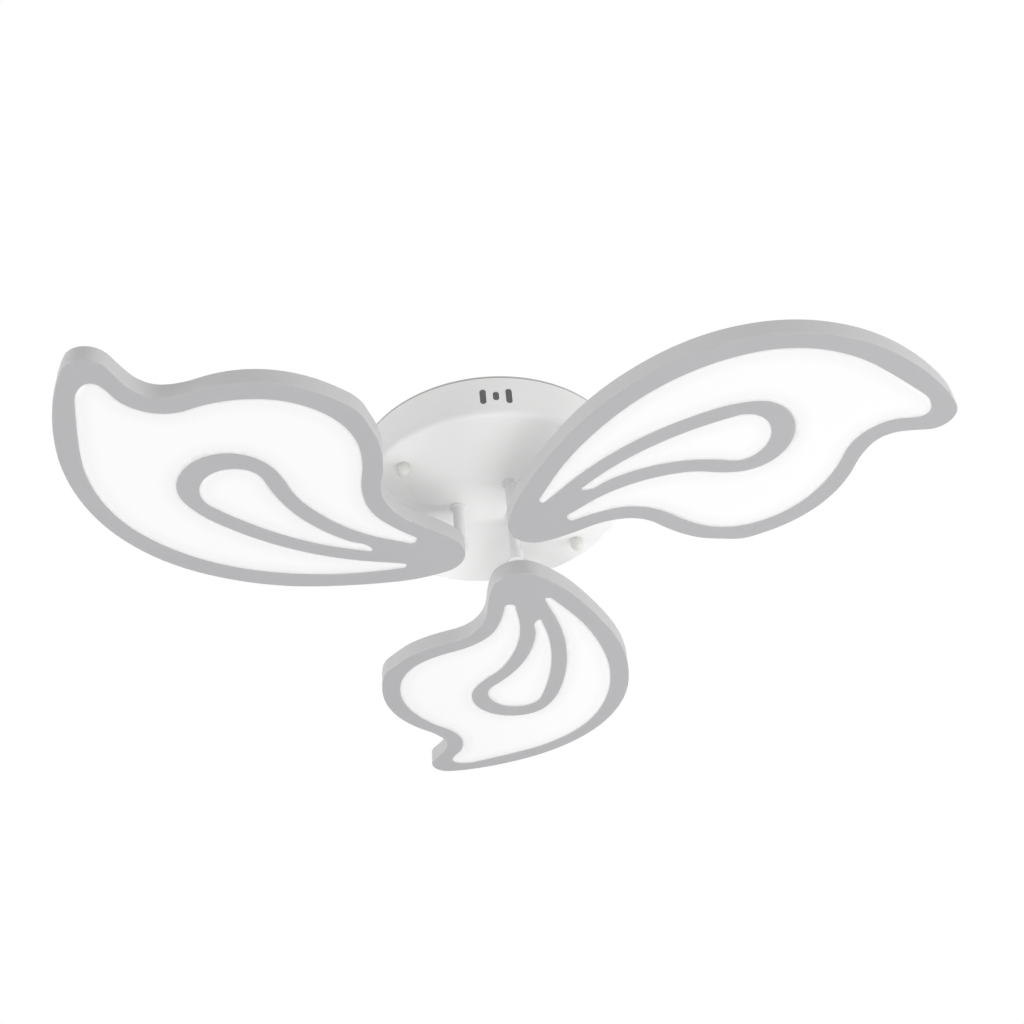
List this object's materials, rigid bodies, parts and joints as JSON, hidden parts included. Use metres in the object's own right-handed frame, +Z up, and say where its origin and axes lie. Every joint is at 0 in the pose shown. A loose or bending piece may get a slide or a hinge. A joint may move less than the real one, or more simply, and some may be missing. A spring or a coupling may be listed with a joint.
{
  "type": "led ceiling chandelier",
  "caption": "Ceiling chandelier with leaf-shaped edge-lit LED heads, each with crescent and drop windows, swivelling on short stems under a round canopy.",
  "frame": {"origin": "middle of the ceiling side of the canopy, in the plane that touches the ceiling; the lamp hangs below it", "axes": "+Z up into the ceiling; +X along the mounting crossbar and its two ceiling slots; +Y completes a right-handed set"},
  "size_m": [0.5618, 0.5904, 0.0847],
  "materials": {
    "canopy_paint": "matt white powder coat",
    "leaf_paint": "matt white powder coat",
    "back_paint": "matt white powder coat on sheet steel",
    "stem_paint": "matt white paint on drawn steel tube",
    "foot_paint": "matt white paint on a zinc casting",
    "zinc_strap": "zinc-plated pressed steel",
    "zinc_hardware": "bright zinc plate",
    "cap_nut_metal": "nickel-plated brass, bright",
    "gasket_foam": "closed-cell foam, light grey",
    "grommet_rubber": "black moulded rubber",
    "driver_case": "fine-grained white moulding",
    "terminal_plastic": "natural nylon moulding",
    "earth_copper": "tinned brass",
    "core_insulation": "PVC core insulation, brown and blue",
    "earth_insulation": "PVC core insulation, green and yellow",
    "lead_insulation": "white PVC sheath",
    "opal_acrylic": "opal acrylic, satin",
    "clear_acrylic": "clear acrylic, polished",
    "reflector_white": "white polystyrene sheet",
    "strip_board": "white flexible circuit",
    "led_package": "white package with a yellow phosphor window"
  },
  "bodies": {
    "canopy": {"canopy_shell": "canopy_paint", "ceiling_gasket": "gasket_foam", "mounting_crossbar": "zinc_strap", "mains_grommet": "grommet_rubber", "hanger_screws": "zinc_hardware", "hanger_nuts": "zinc_hardware", "cap_nuts": "cap_nut_metal", "stem_plate": "zinc_strap", "stem_washers": "zinc_hardware", "led_driver": "driver_case", "terminal_block": "terminal_plastic", "stud_nuts": "zinc_hardware", "earth_tag": "earth_copper", "driver_input_leads": "core_insulation", "earth_lead": "earth_insulation", "driver_output_leads": "lead_insulation"},
    "light_head_1": {"stem_1": "stem_paint", "stem_nut_1": "zinc_hardware", "stem_foot_1": "foot_paint", "petal_lead_1": "lead_insulation", "foot_screws_1": "zinc_hardware", "petal_frame_1": "leaf_paint", "petal_back_1": "back_paint", "back_screws_1": "zinc_hardware", "crescent_lens_1": "opal_acrylic", "drop_lens_1": "opal_acrylic", "light_guide_1": "clear_acrylic", "reflector_sheet_1": "reflector_white", "led_strip_1": "strip_board", "led_chips_1": "led_package"},
    "light_head_2": {"stem_2": "stem_paint", "stem_nut_2": "zinc_hardware", "stem_foot_2": "foot_paint", "petal_lead_2": "lead_insulation", "foot_screws_2": "zinc_hardware", "petal_frame_2": "leaf_paint", "petal_back_2": "back_paint", "back_screws_2": "zinc_hardware", "crescent_lens_2": "opal_acrylic", "drop_lens_2": "opal_acrylic", "light_guide_2": "clear_acrylic", "reflector_sheet_2": "reflector_white", "led_strip_2": "strip_board", "led_chips_2": "led_package"},
    "light_head_3": {"stem_3": "stem_paint", "stem_nut_3": "zinc_hardware", "stem_foot_3": "foot_paint", "petal_lead_3": "lead_insulation", "foot_screws_3": "zinc_hardware", "petal_frame_3": "leaf_paint", "petal_back_3": "back_paint", "back_screws_3": "zinc_hardware", "crescent_lens_3": "opal_acrylic", "drop_lens_3": "opal_acrylic", "light_guide_3": "clear_acrylic", "reflector_sheet_3": "reflector_white", "led_strip_3": "strip_board", "led_chips_3": "led_package"}
  },
  "joints": [
    {"name": "head_1_turn", "type": "hinge", "parent": "canopy", "child": "light_head_1", "pos_m": [0.02485, 0.0089, -0.035], "axis": [0, 0, 1], "range_deg": [-15, 15]},
    {"name": "head_2_turn", "type": "hinge", "parent": "canopy", "child": "light_head_2", "pos_m": [-0.02013, 0.01707, -0.035], "axis": [0, 0, 1], "range_deg": [-15, 15]},
    {"name": "head_3_turn", "type": "hinge", "parent": "canopy", "child": "light_head_3", "pos_m": [-0.00472, -0.02598, -0.035], "axis": [0, 0, 1], "range_deg": [-15, 15]}
  ]
}
